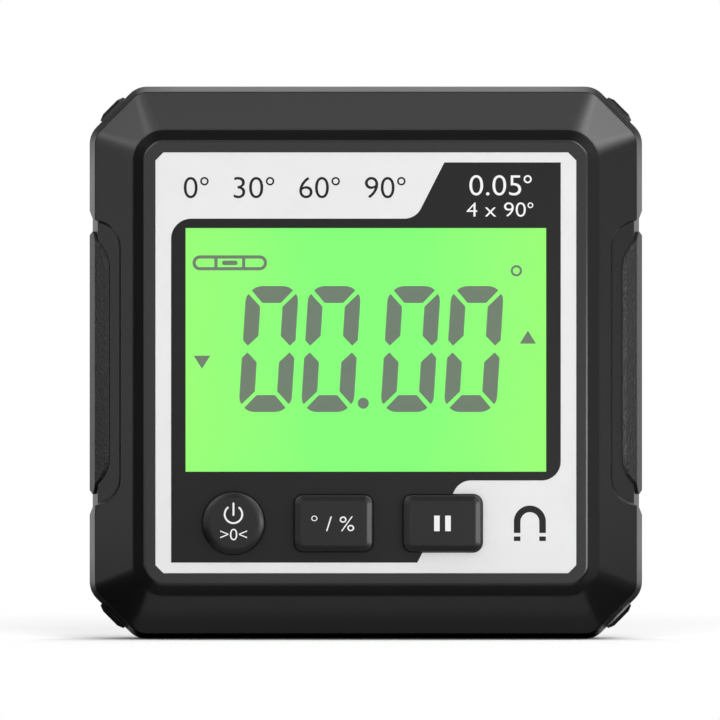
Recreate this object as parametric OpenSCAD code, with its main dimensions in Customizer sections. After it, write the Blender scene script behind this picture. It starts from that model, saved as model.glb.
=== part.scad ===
// Digital angle gauge: a square box level with a backlit display and three push buttons.
// The face looks along -Y, +Z is up and the origin is the middle of the footprint.

/* [Case] */
// Depth of the case, from the front rim to the back
case_depth = 32; // [31:0.5:37]
// Leg of the 45 degree cut across each corner
corner_leg = 5.14; // [4.5:0.1:6.4]
// Rounding at both ends of each corner cut
corner_round = 2.6; // [2.3:0.1:3.4]
// Wall thickness of the case
wall = 2; // [1.6:0.1:2.2]
// Room between the battery tray and each side wall
tray_room = 2.05; // [1.8:0.05:3]
// Depth of the rear cover
cover_depth = 6; // [5:0.25:7]
// Width of the bevel round the back
back_bevel = 2; // [1:0.1:2.2]

/* [Front frame] */
// Draft of the side walls towards the front
edge_taper = 0.6; // [0.3:0.1:0.9]
// Length over which the side walls are drafted
taper_depth = 6; // [4:0.5:8]
// Width and depth of the 45 degree bevel
bevel = 4.23; // [3.6:0.1:4.6]
// Width of the steep step between the bevel and the rim
step_w = 1.17; // [0.8:0.1:1.5]
// Height of that step
step_depth = 2.03; // [1.2:0.1:2.4]
// Corner radius at the foot of the step
step_round = 2.9; // [2:0.1:4]
// Width of the flat rim round the label
rim_w = 1.24; // [0.9:0.1:1.5]
// Corner radius of the rim
rim_round = 1.8; // [1.2:0.1:2.4]
// Thickness of the wall behind the label
front_wall = 1.8; // [1.5:0.1:2.1]

/* [Label] */
// Thickness of the face label
label_t = 0.2; // [0.15:0.05:0.3]
// How far the label lies below the rim
label_sink = 0.05; // [0.05:0.05:0.25]
// Leg of the cut across each label corner
label_cut = 0.87; // [0.4:0.1:1.4]

/* [Display] */
// Label beside the display window
window_side = 3.26; // [2.5:0.05:5]
// Label above the display window
window_above = 8.19; // [7:0.1:9]
// Space between the button collars and the frame of the display
row_gap = 0.29; // [0.2:0.05:0.6]
// Thickness of the clear lens
lens_t = 1; // [0.8:0.1:1.2]
// Ledge that the lens is bonded to
lens_ledge = 0.8; // [0.6:0.1:0.9]
// Thickness of each of the two display glasses
glass_t = 1.1; // [0.7:0.1:1.2]
// Height of the contact ledge along the top of the front glass
glass_ledge = 2.4; // [2:0.1:2.8]
// Thickness of the backlight's light guide
backlight_t = 2.2; // [2:0.1:3]
// Wall of the frame round the display stack
frame_wall = 0.6; // [0.4:0.05:0.7]

/* [Buttons] */
// Height of the button row above the label's lower edge
button_rise = 5.4; // [4.6:0.1:6]
// Distance of the round button's middle from the label's left edge
power_side = 8.45; // [7:0.1:9.5]
// Diameter of the round button
power_d = 6.78; // [6:0.1:7]
// Distance from the round button to the first oblong button
unit_pitch = 10.82; // [10:0.1:12]
// Distance between the two oblong buttons
hold_pitch = 11.78; // [11:0.1:13]
// Width of the two oblong buttons
key_w = 8.56; // [7.5:0.1:9]
// Height of the two oblong buttons
key_h = 6.17; // [5.5:0.1:6.4]
// Corner radius of the two oblong buttons
key_round = 1; // [0.8:0.1:1.4]
// Width of the bevel round each button's top
button_bevel = 0.68; // [0.4:0.05:0.8]
// How far the buttons stand proud of the rim
button_proud = 0.8; // [0.7:0.05:1.3]
// Height of each button's straight side above the label
button_side = 0.5; // [0.2:0.05:0.6]
// Travel of each button
button_travel = 0.4; // [0.2:0.05:0.5]
// Gap round each button in its hole
button_gap = 0.1; // [0.1:0.05:0.25]
// Collar that keeps each button in
button_collar = 0.4; // [0.3:0.05:0.5]
// Thickness of that collar
collar_t = 0.6; // [0.5:0.05:0.8]

/* [Side grips] */
// Height of each side channel at the surface
channel_h = 33; // [31:0.5:35]
// Depth of the side channels
channel_depth = 0.33; // [0.25:0.02:0.45]
// Length of the ramp at each end of a channel
channel_ramp = 0.8; // [0.4:0.1:1.2]
// Corner radius of a channel's outline on the bevel
channel_round = 5; // [4:0.1:6.5]
// How far a channel runs up the bevel
channel_reach = 2.85; // [2:0.1:3.2]
// Lean of a channel's wall on the bevel, for each unit of depth
channel_lean = 0.22; // [0.1:0.02:0.4]
// How far a channel's ends close in for each unit of depth on the bevel
channel_flare = 0.5; // [0.3:0.05:0.7]
// Space between a grip and the foot of each ramp
grip_gap = 1.46; // [1:0.05:2]
// Width of the sloped edge at the ends of a grip
grip_edge = 0.4; // [0.2:0.05:0.6]
// Corner radius of a grip's outline
grip_round = 4; // [3:0.1:5]
// Space between a grip and the front end of its channel
grip_margin = 1.65; // [1.2:0.05:2]
// Space between a grip and the rear cover
grip_land = 3.65; // [2.5:0.25:5]

/* [Corner pads] */
// Length of each corner pad across the corner
pad_l = 3.55; // [2.5:0.05:4]
// Length of each pad's flat top
pad_top = 2.2; // [1.5:0.05:2.4]
// Height of each pad
pad_h = 0.47; // [0.3:0.02:0.6]
// Height of the upright edge at a pad's sides
pad_edge = 0.2; // [0.1:0.02:0.28]
// Distance from the rim to the front end of the pads
pad_front = 10.5; // [9:0.5:13]
// Land between the pads and the rear cover
pad_land = 2; // [1:0.25:4]
// Length of the slope at each end of a pad
pad_slope = 0.8; // [0.4:0.1:1.2]

/* [Circuit board] */
// Space between the board and each side wall
board_side_gap = 3; // [2.6:0.1:4]
// Space between the board and the top and bottom walls
board_end_gap = 3.5; // [3:0.1:4]
// Thickness of the board
board_t = 1.6; // [1:0.1:2]
// Leg of the cut across each board corner
board_cut = 4; // [3:0.25:5]
// Side of each square switch case
switch_w = 6; // [5.2:0.1:6.2]
// Height of each switch case
switch_h = 2.9; // [2.4:0.1:3]
// Diameter of each switch plunger
plunger_d = 3.2; // [2.6:0.1:3.6]
// Distance of the board screws from the board's sides
board_screw_side = 5; // [4.5:0.1:5.5]
// Distance of the lower board screws from the board's lower edge
board_screw_low = 2.5; // [2.2:0.1:3]
// Wall round each board screw in its post
post_wall = 1; // [0.8:0.1:1.2]
// Space between the upper posts and the frame of the display
post_gap = 0.63; // [0.4:0.05:0.8]
// Side of the square processor package
chip_w = 9; // [7:0.5:12]
// Side of the square tilt sensor package
sensor_w = 5; // [3:0.5:6]
// Height of both packages
chip_t = 1.2; // [0.8:0.1:1.6]

/* [Batteries] */
// Diameter of each cell
cell_d = 10.3; // [9.8:0.1:10.5]
// Length of each cell, with its terminal
cell_l = 44.5; // [43.3:0.1:44.6]
// Diameter of a cell's terminal
terminal_d = 3.8; // [3:0.1:4]
// Height of a cell's terminal
terminal_h = 0.9; // [0.8:0.1:1.2]
// Room that a contact spring has along the cell
spring_room = 3.8; // [3.4:0.1:4]
// Wire diameter of the contact springs
wire_d = 0.6; // [0.4:0.05:0.7]
// Thickness of the contact plates
contact_t = 0.4; // [0.3:0.05:0.5]
// Wall of the battery tray
tray_wall = 1.2; // [0.9:0.1:1.3]
// Thickness of the battery door
door_t = 1.6; // [1.3:0.1:1.9]
// Ledge that the door lies on
door_ledge = 1.4; // [1:0.1:1.6]
// Corner radius of the door
door_round = 2; // [1:0.25:3]
// Height of the screw tongue below the door's ledge
door_tongue = 5.8; // [5.2:0.1:6.4]

/* [Fasteners and magnets] */
// Distance of each case screw from the two nearest sides
case_screw_side = 7.5; // [7.2:0.1:8]
// Shank diameter of the case screws and the door screw
screw_d = 2.4; // [2:0.1:2.6]
// Head diameter of those screws
screw_head_d = 4.2; // [3.6:0.1:4.4]
// Head height of those screws
screw_head_t = 1.3; // [1:0.1:1.5]
// Length of a case screw's shank
case_screw_l = 14; // [10:0.5:16]
// Depth of the counterbores in the back
counterbore = 3; // [2.4:0.1:3.6]
// Shank diameter of the board screws
board_screw_d = 1.8; // [1.4:0.1:2]
// Head diameter of the board screws
board_head_d = 3.4; // [2.8:0.1:3.6]
// Shank length of the board screws
board_screw_l = 4.6; // [3.5:0.1:5.5]
// Diameter of each base magnet
magnet_d = 8; // [6:0.25:9]
// Thickness of each base magnet
magnet_t = 3; // [2:0.25:4]
// Spacing of the base magnets
magnet_pitch = 16; // [12:0.5:17]
// How far the magnets lie below the base
magnet_sink = 0.1; // [0.05:0.05:0.3]

/* [Clearances] */
// Gap between pieces that slip together
fit_gap = 0.1; // [0.05:0.01:0.15]
// Glue line under bonded pieces
glue_gap = 0.03; // [0.02:0.01:0.06]
// Gap round the battery door
door_gap = 0.2; // [0.15:0.05:0.3]

/* [Hidden] */
$fn = 48;

// Segments in each rounded corner of a lofted outline
arc_steps = 5;
// Segments in each long corner curve of a channel
channel_steps = 12;
// Rounding of moulded edges, and of the two edges along the parting line
edge_soft = 0.2;
parting_soft = 0.2;
// Straight stretch left in the rounded corners of the step and the rim
rim_cut = 0.3;
// Smallest corner radius of an inset outline
round_min = 0.4;
// How far cutting shapes run past the surface that they cut
over = 1;

// What a corner's rounding takes off its cut, for each unit of radius
cut_per_radius = 2 - sqrt(2);
corner_cut = corner_leg - cut_per_radius * corner_round;

// The case is as wide as the cells, their contacts, the tray and the walls make it
tray_w = cell_l + spring_room + 3 * contact_t;
case_w = tray_w + 2 * (tray_wall + tray_room + wall);

// Half widths on the face
case_half = case_w / 2;
face_half = case_half - edge_taper - bevel - step_w;
label_half = face_half - rim_w;
case_screw_x = case_half - case_screw_side;

// Levels from the face: 0 is the rim and negative is deeper
step_z = -step_depth;
bevel_z = step_z - bevel;
side_z = bevel_z - taper_depth;
back_z = -case_depth;
split_z = back_z + cover_depth;
recess_z = -label_sink - label_t;
inner_z = recess_z - front_wall;
glass_z = inner_z - fit_gap;
backlight_z = glass_z - 2 * glass_t - fit_gap;
board_z = backlight_z - backlight_t - fit_gap;
board_back_z = board_z - board_t;
collar_z = inner_z - fit_gap;
switch_z = board_z + switch_h;
plunger_z = collar_z - collar_t - 2 * fit_gap;

// The footprint's middle lies halfway between the button tops and the back
front_y = -(case_depth - button_proud) / 2;

// Button row, and the display window above it
button_y = button_rise - label_half;
power_x = power_side - label_half;
unit_x = power_x + unit_pitch;
hold_x = unit_x + hold_pitch;
crown_z = -label_sink + button_side;
frame_rim = lens_ledge + fit_gap + frame_wall;
window_w = 2 * (label_half - window_side);
window_top = label_half - window_above;
window_low = button_y + power_d / 2 + button_collar + row_gap + frame_rim;
window_h = window_top - window_low;
window_y = (window_top + window_low) / 2;

// Display stack
lens_w = window_w + 2 * lens_ledge;
lens_h = window_h + 2 * lens_ledge;
glass_w = lens_w + 2 * fit_gap;
glass_h = lens_h + glass_ledge;
glass_low = window_y - lens_h / 2;
rear_glass_h = lens_h;
frame_w = glass_w + 2 * fit_gap + 2 * frame_wall;
frame_h = glass_h + 2 * fit_gap + 2 * frame_wall;
frame_y = glass_low + glass_h / 2;

// Board and its screws
board_w = case_w - 2 * (wall + board_side_gap);
board_h = case_w - 2 * (wall + board_end_gap);
post_d = board_screw_d + 2 * post_wall;
board_screw_x = board_w / 2 - board_screw_side;
board_screw_top_y = frame_y + frame_h / 2 + post_gap + post_d / 2;
board_screw_low_y = board_screw_low - board_h / 2;

// Battery tray, door and cells, measured from the back
cell_pitch = cell_d + fit_gap * 4;
tray_h = cell_pitch + cell_d + fit_gap * 4;
ledge_z = back_z + door_t + glue_gap;
cell_z = ledge_z + cell_d / 2 + fit_gap * 3;
tray_z = cell_z + cell_d / 2 + fit_gap;
seat_z = ledge_z + tray_wall;
door_w = tray_w + 2 * door_ledge;
door_top = tray_h / 2 + door_ledge;
door_low = -tray_h / 2 - door_ledge - door_tongue;
door_screw_y = (door_low - tray_h / 2) / 2;
door_screw_l = 7;
door_boss_d = screw_d + 2.6;

// Contact tails reach from the tray to the back of the board
tail_w = 2.4;
tail_x = tray_w / 2 - contact_t / 2;
tail_top_z = board_back_z - fit_gap;

// Case screws and their bosses
case_boss_d = screw_d + 2.8;
case_boss_z = board_back_z - chip_t - case_boss_d / 2;
seat_screw_z = back_z + counterbore;
tongue_l = 1.5;
tongue_t = 1.2;
web_z = split_z + tongue_l + 2 * fit_gap;
web_l = (case_w - corner_leg) / sqrt(2) - wall / 2 - case_screw_x * sqrt(2);

// Magnet bosses stand just in front of the rear cover's tongue
magnet_boss_d = magnet_d + 2 * tray_wall;
magnet_z = split_z + tongue_l + 2 * fit_gap + magnet_boss_d / 2;

// Places face coordinates (right, up, towards the viewer) on the standing case
module on_case() {
    translate([0, front_y, case_half]) rotate([90, 0, 0]) children();
}

// Points of an arc in steps
function arc(cx, cy, r, from) = [
    for (i = [0:arc_steps], a = from + 45 * i / arc_steps) [cx + r * cos(a), cy + r * sin(a)]
];

// Ring of a square with cut and rounded corners, for a section [half width, level, radius, cut]
function square_ring(s) =
    let (c = s[0] - s[2])
    let (corner = concat(arc(c, c - s[3], s[2], 0), arc(c - s[3], c, s[2], 45)))
    [for (turn = [0:90:270], p = corner) [
        p[0] * cos(turn) - p[1] * sin(turn),
        p[0] * sin(turn) + p[1] * cos(turn),
        s[1]
    ]];

// Ring of a rounded rectangle with its middle at height cy
function rect_ring(w, h, r, level, cy = 0) = [
    for (turn = [0:90:270])
        let (sx = turn == 0 || turn == 270 ? 1 : -1)
        let (sy = turn < 180 ? 1 : -1)
        each [for (i = [0:2 * arc_steps], a = turn + 45 * i / arc_steps)
            [sx * (w / 2 - r) + r * cos(a), cy + sy * (h / 2 - r) + r * sin(a), level]]
];

// Sections that round the edge at p between its neighbours a and b
function towards(p, q, e) = p + (q - p) * min(0.45, e / norm([q[0] - p[0], q[1] - p[1]]));
function soften(a, p, b, e) =
    let (s = towards(p, a, e))
    let (t = towards(p, b, e))
    [s, (s + 2 * p + t) / 4, t];

// Closed skin through rings with equal counts of points, from the lowest ring up
module skin(rings) {
    n = len(rings[0]);
    last = len(rings) - 1;
    polyhedron(
        points = [for (ring = rings) each ring],
        faces = concat(
            [[for (i = [0:n - 1]) i]],
            [for (j = [0:last - 1], i = [0:n - 1])
                let (k = (i + 1) % n)
                each [
                    [j * n + i, (j + 1) * n + i, (j + 1) * n + k],
                    [j * n + i, (j + 1) * n + k, j * n + k]
                ]],
            [[for (i = [n - 1:-1:0]) last * n + i]]
        )
    );
}

// Rounded rectangle with true arcs
module rounded_rect(w, h, r) {
    square([w - 2 * r, h], center = true);
    square([w, h - 2 * r], center = true);
    for (sx = [-1, 1], sy = [-1, 1]) translate([sx * (w / 2 - r), sy * (h / 2 - r)]) circle(r);
}

// Square with 45 degree cuts across its corners
module cut_square(w, h, cut) {
    polygon([
        [w / 2 - cut, h / 2], [w / 2, h / 2 - cut], [w / 2, cut - h / 2], [w / 2 - cut, -h / 2],
        [cut - w / 2, -h / 2], [-w / 2, cut - h / 2], [-w / 2, h / 2 - cut], [cut - w / 2, h / 2]
    ]);
}

// Extrudes an outline from one level down to another
module slab(top, bottom) {
    translate([0, 0, bottom]) linear_extrude(top - bottom) children();
}

// Outline of the case's side walls at one level, moved in by an inset
function case_section(level, inset) =
    [case_half - inset, level, max(round_min, corner_round - inset), corner_cut];

split_section = case_section(split_z, 0);
side_section = case_section(side_z, 0);
edge_section = case_section(bevel_z, edge_taper);
foot_section = [face_half + step_w, step_z, step_round, rim_cut];
rim_section = [face_half, 0, rim_round, rim_cut];
inward = [-1, 0, 0, 0];

// Outer form of the front housing
module case_form() {
    skin([for (s = concat(
        soften(split_section + inward, split_section, side_section, parting_soft),
        [side_section],
        soften(side_section, edge_section, foot_section, edge_soft),
        [foot_section],
        soften(foot_section, rim_section, rim_section + inward, edge_soft)
    )) square_ring(s)]);
}

// The same form moved in by t, from behind the back up to the foot of the step
module case_core(t) {
    skin([for (s = [
        case_section(back_z - over, t),
        case_section(side_z, t),
        case_section(bevel_z - t * tan(22.5), edge_taper + t),
        foot_section + inward * t * sqrt(2)
    ]) square_ring(s)]);
}

// Hollow of the front housing
module case_hollow() {
    front_half = face_half + step_w + step_z - inner_z - front_wall * sqrt(2);
    edge_half = case_half - edge_taper - wall;
    skin([for (s = [
        case_section(split_z - over, wall),
        case_section(side_z, wall),
        [edge_half, inner_z - edge_half + front_half, round_min, corner_cut],
        [front_half, inner_z, step_round, rim_cut]
    ]) square_ring(s)]);
}

// Lays a skin on the right-hand side: rings run outwards, their width along the case's height
module side_skin(rings) {
    rotate([90, 0, 90]) skin(rings);
}

// Ring of a side outline between two depths
function side_ring(h, front, rear, r, x) = rect_ring(h, front - rear, r, x, (front + rear) / 2);

channel_front = bevel_z + channel_reach;
channel_half = channel_h / 2 - channel_ramp;
grip_h = 2 * (channel_half - grip_gap);

// Ring of the right-hand channel's outline, which closes in down the bevel and then stays the same
function channel_ring(level) =
    let (drop = channel_front - max(level, bevel_z))
    let (inner_x = case_half - edge_taper - channel_reach + channel_lean * drop)
    let (end_x = case_half - channel_depth)
    let (end_y = channel_half + channel_flare * (channel_reach - drop))
    let (turn = acos(1 - (end_x - inner_x) / channel_round))
    let (upper = concat(
        [[case_half + over, end_y + (channel_depth + over) * channel_ramp / channel_depth]],
        [for (i = [channel_steps:-1:0], a = turn * i / channel_steps) [
            inner_x + channel_round * (1 - cos(a)),
            end_y - channel_round * (sin(turn) - sin(a))
        ]]
    ))
    let (last = len(upper) - 1)
    concat(
        [for (p = upper) [p[0], p[1], level]],
        [for (i = [last:-1:0]) [upper[i][0], -upper[i][1], level]]
    );

// Space of the right-hand channel
module channel_form() {
    skin([for (level = [back_z - over, bevel_z, over]) channel_ring(level)]);
}

// Shallow channels from the bevel to the back on both sides
module side_channels() {
    difference() {
        union() {
            channel_form();
            mirror([1, 0, 0]) channel_form();
        }
        case_core(channel_depth);
    }
}

// Grip in the right-hand channel, level with the case around it
module grip_form() {
    front = channel_front - grip_margin;
    rear = split_z + grip_land;
    top_h = grip_h - 2 * grip_edge;
    intersection() {
        side_skin([
            side_ring(grip_h, front, rear, grip_round, case_half - 2 * bevel),
            side_ring(grip_h, front, rear, grip_round, case_half - channel_depth),
            side_ring(top_h, front, rear, grip_round, case_half),
            side_ring(top_h, front, rear, grip_round, case_half + over)
        ]);
        difference() {
            case_form();
            case_core(channel_depth - glue_gap);
        }
    }
}

// Ring of a corner pad with its edges at two heights above the corner's flat
function pad_ring(edge_h, top_h, level) = [
    [-edge_taper, -pad_l / 2, level], [edge_h, -pad_l / 2, level], [top_h, -pad_top / 2, level],
    [top_h, pad_top / 2, level], [edge_h, pad_l / 2, level], [-edge_taper, pad_l / 2, level]
];

// Raised pad on the flat of each corner
module corner_pads() {
    low = edge_soft / 4;
    pad_rear_z = split_z + pad_land;
    for (turn = [45:90:315]) {
        rotate([0, 0, turn])
            translate([(case_w - corner_leg) / sqrt(2), 0, 0])
                skin([
                    pad_ring(low, 2 * low, pad_rear_z),
                    pad_ring(pad_edge, pad_h, pad_rear_z + pad_slope),
                    pad_ring(pad_edge, pad_h, -pad_front - pad_slope),
                    pad_ring(low, 2 * low, -pad_front)
                ]);
    }
}

// Repeats at the four case screws
module at_case_screws() {
    for (turn = [0:90:270]) rotate([0, 0, turn]) translate([case_screw_x, case_screw_x, 0]) children();
}

// Repeats at the four board screws
module at_board_screws() {
    for (sx = [-1, 1], y = [board_screw_top_y, board_screw_low_y])
        translate([sx * board_screw_x, y, 0]) children();
}

// Repeats at the base magnets, with the axis upwards from the base
module at_magnets() {
    for (i = [-1:1]) translate([i * magnet_pitch, -case_half, magnet_z]) rotate([-90, 0, 0]) children();
}

// Outlines of the three buttons, widened by a margin
module power_outline(margin) {
    translate([power_x, button_y]) circle(d = power_d + 2 * margin);
}
module key_outline(x, margin) {
    translate([x, button_y])
        rounded_rect(key_w + 2 * margin, key_h + 2 * margin, key_round + margin);
}
module button_outlines(margin) {
    power_outline(margin);
    key_outline(unit_x, margin);
    key_outline(hold_x, margin);
}

// Window outline, widened by a margin
module window_outline(margin) {
    translate([0, window_y]) square([window_w + 2 * margin, window_h + 2 * margin], center = true);
}

// Screw with a cross recess in its head: the head's underside is at level 0, the shank below it
module screw(head_d, head_t, d, l) {
    slot_w = head_d / 6;
    slot_l = head_d * 0.6;
    slot_t = head_t * 0.6;
    difference() {
        union() {
            cylinder(h = head_t, d = head_d);
            translate([0, 0, -l]) cylinder(h = l + head_t / 2, d = d);
        }
        for (turn = [0, 90]) {
            rotate([0, 0, turn])
                translate([0, 0, head_t])
                    cube([slot_l, slot_w, 2 * slot_t], center = true);
        }
    }
}

// Moulded front half: frame, face wall, base and sides in one piece
module front_housing() {
    color("#2b2b2c") on_case() difference() {
        union() {
            difference() {
                case_form();
                case_hollow();
            }
            corner_pads();
            at_case_screws() {
                slab(case_boss_z, split_z) circle(d = case_boss_d);
                rotate([0, 0, 45]) translate([0, -tray_wall / 2, web_z])
                    cube([web_l, tray_wall, case_boss_z - web_z]);
            }
            at_board_screws() slab(inner_z + over, board_z) circle(d = post_d);
            at_magnets() translate([0, 0, wall / 2])
                cylinder(h = magnet_t + magnet_sink + tray_wall - wall / 2, d = magnet_boss_d);
        }
        slab(over, recess_z) {
            cut_square(2 * (label_half + glue_gap), 2 * (label_half + glue_gap), label_cut);
        }
        slab(0, recess_z - lens_t - glue_gap) window_outline(lens_ledge + fit_gap);
        slab(0, inner_z - over) window_outline(fit_gap);
        slab(0, inner_z - over) button_outlines(button_gap);
        at_case_screws() slab(seat_screw_z + case_screw_l + over, split_z - over) circle(d = screw_d + fit_gap);
        at_board_screws() slab(board_z + board_screw_l - board_t + fit_gap, board_z - over)
            circle(d = board_screw_d + fit_gap);
        at_magnets() translate([0, 0, -over]) cylinder(h = over + magnet_sink + magnet_t, d = magnet_d + fit_gap);
        side_channels();
    }
}

// Outline of the battery door, widened by a margin
module door_outline(margin) {
    translate([0, (door_top + door_low) / 2])
        rounded_rect(door_w + 2 * margin, door_top - door_low + 2 * margin, door_round + margin);
}

// Rear cover with the battery tray moulded on
module rear_cover() {
    back_section = case_section(back_z, back_bevel);
    bevel_section = case_section(back_z + back_bevel, 0);
    seat_margin = door_gap + tray_wall;
    tongue_half = case_half - wall - fit_gap;
    color("#2b2b2c") on_case() difference() {
        union() {
            difference() {
                union() {
                    skin([for (s = concat(
                        soften(back_section + inward, back_section, bevel_section, edge_soft),
                        soften(back_section, bevel_section, split_section, edge_soft),
                        soften(bevel_section, split_section, split_section + inward, parting_soft)
                    )) square_ring(s)]);
                    skin([for (z = [split_z - over, split_z + tongue_l])
                        square_ring(case_section(z, wall + fit_gap))]);
                }
                skin([for (z = [back_z + wall, split_z + tongue_l + over])
                    square_ring(case_section(z, wall + fit_gap + tongue_t))]);
            }
            slab(seat_z, back_z + wall / 2) door_outline(seat_margin);
            slab(tray_z + tray_wall, back_z + wall / 2)
                square([tray_w + 2 * tray_wall, tray_h + 2 * tray_wall], center = true);
            translate([0, door_screw_y, 0]) slab(ledge_z + door_screw_l, back_z + wall / 2) circle(d = door_boss_d);
            at_case_screws() slab(split_z, back_z + wall / 2) circle(d = screw_head_d + 2);
        }
        slab(ledge_z, back_z - over) door_outline(door_gap);
        slab(tray_z, back_z - over) square([tray_w, tray_h], center = true);
        translate([0, door_screw_y, 0])
            slab(ledge_z + door_screw_l + over, back_z - over) circle(d = screw_d + fit_gap);
        at_case_screws() {
            slab(split_z + over, back_z - over) circle(d = screw_d + 2 * fit_gap);
            slab(seat_screw_z, back_z - over) circle(d = screw_head_d + 2 * fit_gap);
        }
        for (sy = [-1, 1]) {
            translate([-tail_x, sy * cell_pitch / 2, 0])
                slab(tray_z + tray_wall + over, tray_z - over)
                    square([contact_t + 2 * fit_gap, tail_w + 2 * fit_gap], center = true);
        }
        side_channels();
    }
}

// Textured inlays of the side channels
module right_grip() {
    color("#222223") on_case() grip_form();
}
module left_grip() {
    color("#222223") on_case() mirror([1, 0, 0]) grip_form();
}

// Printed face overlay
module face_label() {
    color("#e9e9e9") on_case() slab(-label_sink, recess_z + glue_gap) difference() {
        cut_square(2 * label_half, 2 * label_half, label_cut);
        window_outline(0);
        button_outlines(button_gap);
    }
}

// Clear lens behind the label
module lcd_lens() {
    color("#d8f0dc80") on_case() slab(recess_z, recess_z - lens_t) window_outline(lens_ledge);
}

// Collar and shank below a button's crown
module button_stem(x) {
    translate([x, button_y, 0])
        slab(collar_z - collar_t, plunger_z + fit_gap) circle(d = plunger_d);
}

// Round button
module power_button() {
    r = power_d / 2;
    collar_r = r + button_collar;
    foot = [r, collar_z];
    shoulder = [r, crown_z];
    brow = [r - button_bevel, button_proud];
    crown = [0, button_proud];
    color("#343434") on_case() {
        translate([power_x, button_y, 0]) rotate_extrude() polygon(concat(
            [[0, collar_z - collar_t], [collar_r, collar_z - collar_t], [collar_r, collar_z], foot],
            soften(foot, shoulder, brow, edge_soft),
            soften(shoulder, brow, crown, edge_soft),
            [crown]
        ));
        button_stem(power_x);
    }
}

// Oblong button with a bevelled crown
module key_button(x) {
    foot = [key_w / 2, collar_z - collar_t, key_h / 2, key_round];
    shoulder = [key_w / 2, crown_z, key_h / 2, key_round];
    top_round = max(round_min, key_round - button_bevel);
    brow = [key_w / 2 - button_bevel, button_proud, key_h / 2 - button_bevel, top_round];
    crown = brow - [edge_soft, 0, edge_soft, 0];
    translate([x, button_y, 0]) skin([for (s = concat(
        [foot],
        soften(foot, shoulder, brow, edge_soft),
        soften(shoulder, brow, crown, edge_soft)
    )) rect_ring(2 * s[0], 2 * s[2], s[3], s[1])]);
    slab(collar_z, collar_z - collar_t) key_outline(x, button_collar);
    button_stem(x);
}
module unit_button() {
    color("#343434") on_case() key_button(unit_x);
}
module hold_button() {
    color("#343434") on_case() key_button(hold_x);
}

// Square switch case with a round well for its plunger
module switch_case(x) {
    translate([x, button_y, 0]) difference() {
        slab(switch_z, board_z) rounded_rect(switch_w, switch_w, round_min);
        slab(switch_z + over, board_z + fit_gap * 5) circle(d = plunger_d + 2 * fit_gap);
    }
}
module power_switch() {
    color("#3a3a3a") on_case() switch_case(power_x);
}
module unit_switch() {
    color("#3a3a3a") on_case() switch_case(unit_x);
}
module hold_switch() {
    color("#3a3a3a") on_case() switch_case(hold_x);
}

// Plunger that a button pushes into its switch
module plunger(x) {
    translate([x, button_y, 0])
        slab(plunger_z, board_z + fit_gap * 5 + button_travel + fit_gap) circle(d = plunger_d);
}
module power_plunger() {
    color("#c8b060") on_case() plunger(power_x);
}
module unit_plunger() {
    color("#c8b060") on_case() plunger(unit_x);
}
module hold_plunger() {
    color("#c8b060") on_case() plunger(hold_x);
}

// Display cell: the front glass is taller and leaves a contact ledge along the top
module lcd_glass() {
    color("#9fe08c") on_case() {
        translate([0, frame_y, 0]) slab(glass_z, glass_z - glass_t) square([glass_w, glass_h], center = true);
        translate([0, window_y, 0])
            slab(glass_z - glass_t / 2, glass_z - 2 * glass_t) square([glass_w, rear_glass_h], center = true);
    }
}

// Light guide behind the display cell
module lcd_backlight() {
    color("#f4fff0") on_case() translate([0, window_y, 0])
        slab(backlight_z, backlight_z - backlight_t) square([glass_w, rear_glass_h], center = true);
}

// Frame that holds the display stack against the board
module lcd_frame() {
    color("#e6e6e2") on_case() translate([0, frame_y, 0]) slab(inner_z, board_z) difference() {
        square([frame_w, frame_h], center = true);
        square([frame_w - 2 * frame_wall, frame_h - 2 * frame_wall], center = true);
    }
}

// Elastomer strip from the glass ledge to the board
module lcd_connector() {
    top = glass_low + glass_h;
    strip_h = glass_ledge - 4 * fit_gap;
    color("#d98a9a") on_case() translate([0, top - glass_ledge / 2, 0])
        slab(glass_z - glass_t, board_z) square([window_w, strip_h], center = true);
}

// Main board
module circuit_board() {
    color("#1f6b3a") on_case() difference() {
        slab(board_z, board_back_z) cut_square(board_w, board_h, board_cut);
        at_board_screws() slab(board_z + over, board_back_z - over) circle(d = board_screw_d + 2 * fit_gap);
    }
}

// Square chip with leads along its four sides
module leaded_chip(w, leads) {
    pitch = w / (leads + 1);
    lead_w = pitch / 2;
    slab(0, -chip_t) square(w, center = true);
    for (turn = [0:90:270], i = [1:leads]) {
        rotate([0, 0, turn])
            translate([i * pitch - w / 2, w / 2, 0])
                slab(0, -chip_t / 4) square([lead_w, chip_t * 2], center = true);
    }
}
module processor_chip() {
    color("#202022") on_case() translate([-board_w / 5, 0, board_back_z]) leaded_chip(chip_w, 8);
}
module tilt_sensor() {
    color("#2c2c30") on_case() translate([board_w / 5, 0, board_back_z]) slab(0, -chip_t)
        rounded_rect(sensor_w, sensor_w, round_min);
}

// Screws that hold the board on its posts
module board_screws() {
    color("#b9bcc0") on_case() at_board_screws() translate([0, 0, board_back_z])
        mirror([0, 0, 1]) screw(board_head_d, chip_t, board_screw_d, board_screw_l);
}

// Cell along X, with its terminal at the positive end
module cell() {
    r = cell_d / 2;
    rim = r - round_min;
    end = cell_l - terminal_h;
    rotate([0, 90, 0]) translate([0, 0, -cell_l / 2]) rotate_extrude() polygon([
        [0, 0], [rim, 0], [r, round_min], [r, end - round_min], [rim, end],
        [terminal_d / 2, end], [terminal_d / 2, cell_l], [0, cell_l]
    ]);
}

// The cells lie head to tail, each with its terminal against a contact plate
cell_shift = (tray_w - cell_l) / 2 - 2 * contact_t;
module upper_battery() {
    color("#8d9298") on_case() translate([-cell_shift, cell_pitch / 2, cell_z])
        mirror([1, 0, 0]) cell();
}
module lower_battery() {
    color("#8d9298") on_case() translate([cell_shift, -cell_pitch / 2, cell_z]) cell();
}

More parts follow.
